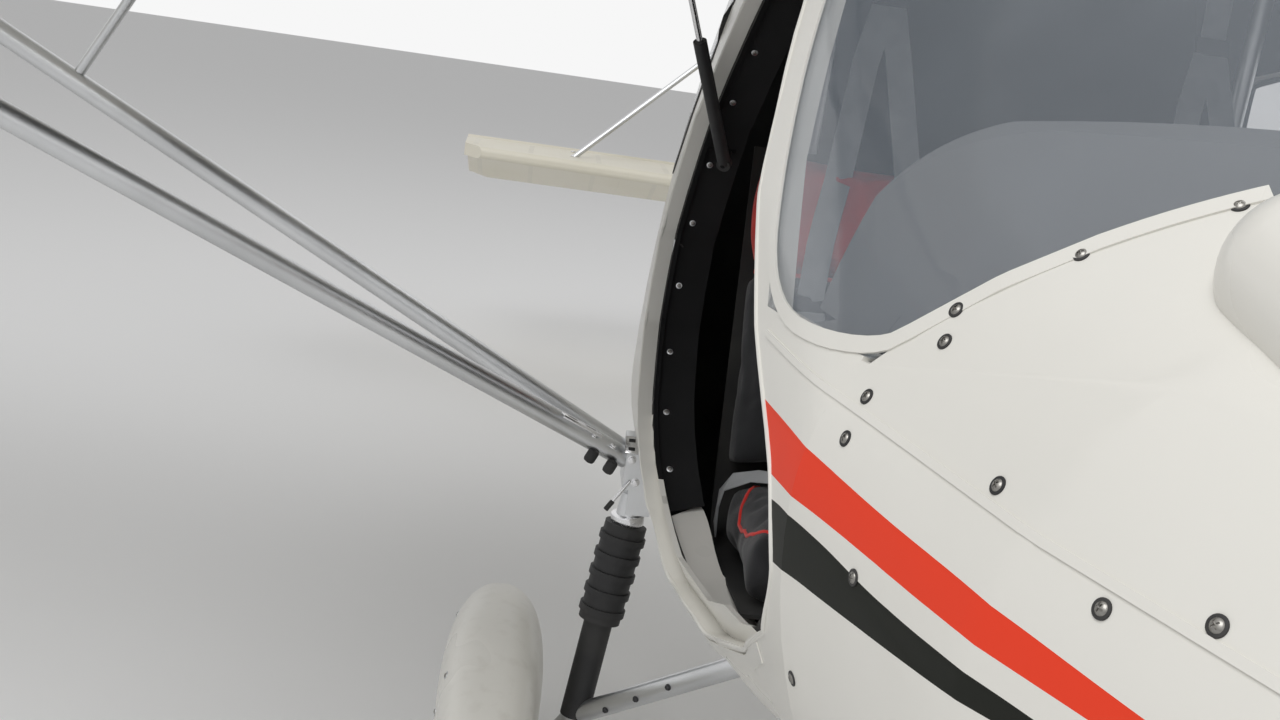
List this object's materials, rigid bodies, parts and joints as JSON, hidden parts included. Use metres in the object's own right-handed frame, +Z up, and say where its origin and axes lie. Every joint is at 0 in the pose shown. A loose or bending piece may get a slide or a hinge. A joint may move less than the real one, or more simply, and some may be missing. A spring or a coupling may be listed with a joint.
{
  "type": "ultralight aircraft",
  "caption": "Strut-braced high-wing ultralight aeroplane with side-by-side cabin, top-hinged doors, spatted tricycle gear, tractor propeller and cruciform tail surfaces.",
  "frame": {"origin": "on the ground under the middle of the box round the whole aeroplane at rest", "axes": "+X to the aeroplane's left, +Y aft, +Z up; the nose points along -Y"},
  "size_m": [9.45, 6.2, 2.338],
  "materials": {
    "shell_white": "gloss",
    "wing_fabric": "satin",
    "tail_fabric": "satin",
    "clear_panel": "gloss",
    "roof_white": "gloss",
    "alloy": "brushed",
    "dark_steel": "satin",
    "bellows_black": "matte",
    "tyre_rubber": "matte",
    "seat_cloth": "matte",
    "panel_grey": "matte",
    "floor_black": "matte",
    "blade_grey": "satin"
  },
  "bodies": {
    "airframe": {"cabin_shell": "shell_white", "windscreen": "clear_panel", "rear_glass": "clear_panel", "cowl_upper": "shell_white", "cowl_lower": "shell_white", "tail_cone": "shell_white", "firewall": "alloy", "engine_block": "dark_steel", "roof_panel": "roof_white", "cabin_floor": "floor_black", "centre_tube": "alloy", "instrument_panel": "panel_grey", "control_stick": "floor_black", "rear_bulkhead": "floor_black", "seat_left": "seat_cloth", "seat_right": "seat_cloth", "seat_pan": "floor_black", "cabin_frame": "alloy", "wing_left": "wing_fabric", "wing_right": "wing_fabric", "lift_struts_left": "alloy", "lift_struts_right": "alloy", "gear_left": "alloy", "gear_right": "alloy", "shock_left": "bellows_black", "shock_right": "bellows_black", "jury_struts": "alloy", "spat_left": "shell_white", "spat_right": "shell_white", "nose_leg": "alloy", "fin": "tail_fabric", "tailplane": "tail_fabric", "tail_braces": "alloy"},
    "propeller": {"spinner": "shell_white", "propeller_blades": "blade_grey"},
    "wheel_left": {"tyre_left": "tyre_rubber", "rim_left": "alloy"},
    "wheel_right": {"tyre_right": "tyre_rubber", "rim_right": "alloy"},
    "nose_steering": {"nose_fork": "alloy", "nose_spat": "shell_white"},
    "nose_wheel": {"nose_tyre": "tyre_rubber", "nose_rim": "alloy"},
    "door_left_body": {"door_left": "shell_white", "door_glass_left": "clear_panel"},
    "door_right_body": {"door_right": "shell_white", "door_glass_right": "clear_panel"},
    "stay_tube_left_body": {"stay_tube_left": "bellows_black"},
    "stay_rod_left_body": {"stay_rod_left": "alloy"},
    "stay_tube_right_body": {"stay_tube_right": "bellows_black"},
    "stay_rod_right_body": {"stay_rod_right": "alloy"},
    "aileron_left_body": {"aileron_left": "wing_fabric"},
    "aileron_right_body": {"aileron_right": "wing_fabric"},
    "flap_left_body": {"flap_left": "wing_fabric"},
    "flap_right_body": {"flap_right": "wing_fabric"},
    "elevator_body": {"elevator": "tail_fabric"},
    "rudder_body": {"rudder": "tail_fabric"}
  },
  "joints": [
    {"name": "propeller_spin", "type": "hinge", "parent": "airframe", "child": "propeller", "pos_m": [0, -2.95, 1.15], "axis": [0, -1, 0], "continuous": true},
    {"name": "wheel_left_spin", "type": "hinge", "parent": "airframe", "child": "wheel_left", "pos_m": [0.83, -0.81, 0.17], "axis": [1, 0, 0], "continuous": true},
    {"name": "wheel_right_spin", "type": "hinge", "parent": "airframe", "child": "wheel_right", "pos_m": [-0.83, -0.81, 0.17], "axis": [1, 0, 0], "continuous": true},
    {"name": "nose_steer", "type": "hinge", "parent": "airframe", "child": "nose_steering", "pos_m": [0, -2.3, 0.45], "axis": [0, 0, 1], "range_deg": [-20, 20]},
    {"name": "nose_wheel_spin", "type": "hinge", "parent": "nose_steering", "child": "nose_wheel", "pos_m": [0, -2.25, 0.15], "axis": [1, 0, 0], "continuous": true},
    {"name": "door_left_swing", "type": "hinge", "parent": "airframe", "child": "door_left_body", "pos_m": [0.52, -1.2, 1.836], "axis": [0, -1, 0], "range_deg": [0, 68]},
    {"name": "door_right_swing", "type": "hinge", "parent": "airframe", "child": "door_right_body", "pos_m": [-0.52, -1.2, 1.836], "axis": [0, -1, 0], "range_deg": [0, 68]},
    {"name": "stay_left_turn", "type": "hinge", "parent": "airframe", "child": "stay_tube_left_body", "pos_m": [0.556, -0.81, 1.293], "axis": [-0.3149, 0.7664, 0.5599], "range_deg": [0, 30.43]},
    {"name": "stay_left_slide", "type": "slide", "parent": "stay_tube_left_body", "child": "stay_rod_left_body", "axis": [-0.1451, -0.6219, 0.7696], "range_m": [0, 0.142]},
    {"name": "stay_right_turn", "type": "hinge", "parent": "airframe", "child": "stay_tube_right_body", "pos_m": [-0.556, -0.81, 1.293], "axis": [0.3149, 0.7664, 0.5599], "range_deg": [0, 30.43]},
    {"name": "stay_right_slide", "type": "slide", "parent": "stay_tube_right_body", "child": "stay_rod_right_body", "axis": [-0.3498, -0.4547, 0.8191], "range_m": [-0.142, 0]},
    {"name": "aileron_left_hinge", "type": "hinge", "parent": "airframe", "child": "aileron_left_body", "pos_m": [2.35, -0.514, 1.93873], "axis": [0.9999, 0, 0.0115], "range_deg": [-20, 20]},
    {"name": "aileron_right_hinge", "type": "hinge", "parent": "airframe", "child": "aileron_right_body", "pos_m": [-2.35, -0.514, 1.93873], "axis": [0.9999, 0, -0.0115], "range_deg": [-20, 20]},
    {"name": "flap_left_hinge", "type": "hinge", "parent": "airframe", "child": "flap_left_body", "pos_m": [0.61, -0.514, 1.91875], "axis": [-0.9999, 0, -0.0115], "range_deg": [0, 38]},
    {"name": "flap_right_hinge", "type": "hinge", "parent": "airframe", "child": "flap_right_body", "pos_m": [-0.61, -0.514, 1.91875], "axis": [-0.9999, 0, 0.0115], "range_deg": [0, 38]},
    {"name": "elevator_hinge", "type": "hinge", "parent": "airframe", "child": "elevator_body", "pos_m": [0, 2.496, 0.925], "axis": [1, 0, 0], "range_deg": [0, 50]},
    {"name": "rudder_hinge", "type": "hinge", "parent": "airframe", "child": "rudder_body", "pos_m": [0, 2.69, 1.2], "axis": [0, 0, 1], "range_deg": [-25, 25]}
  ],
  "couplings": [
    {"joint": "aileron_right_hinge", "follows": "aileron_left_hinge", "ratio": -1},
    {"joint": "flap_right_hinge", "follows": "flap_left_hinge", "ratio": 1},
    {"joint": "nose_steer", "follows": "rudder_hinge", "ratio": -0.8},
    {"joint": "stay_left_turn", "follows": "door_left_swing", "ratio": 0.44731},
    {"joint": "stay_left_slide", "follows": "door_left_swing", "m_per_rad": 0.11953},
    {"joint": "stay_right_turn", "follows": "door_right_swing", "ratio": 0.44731},
    {"joint": "stay_right_slide", "follows": "door_right_swing", "m_per_rad": -0.11953}
  ]
}
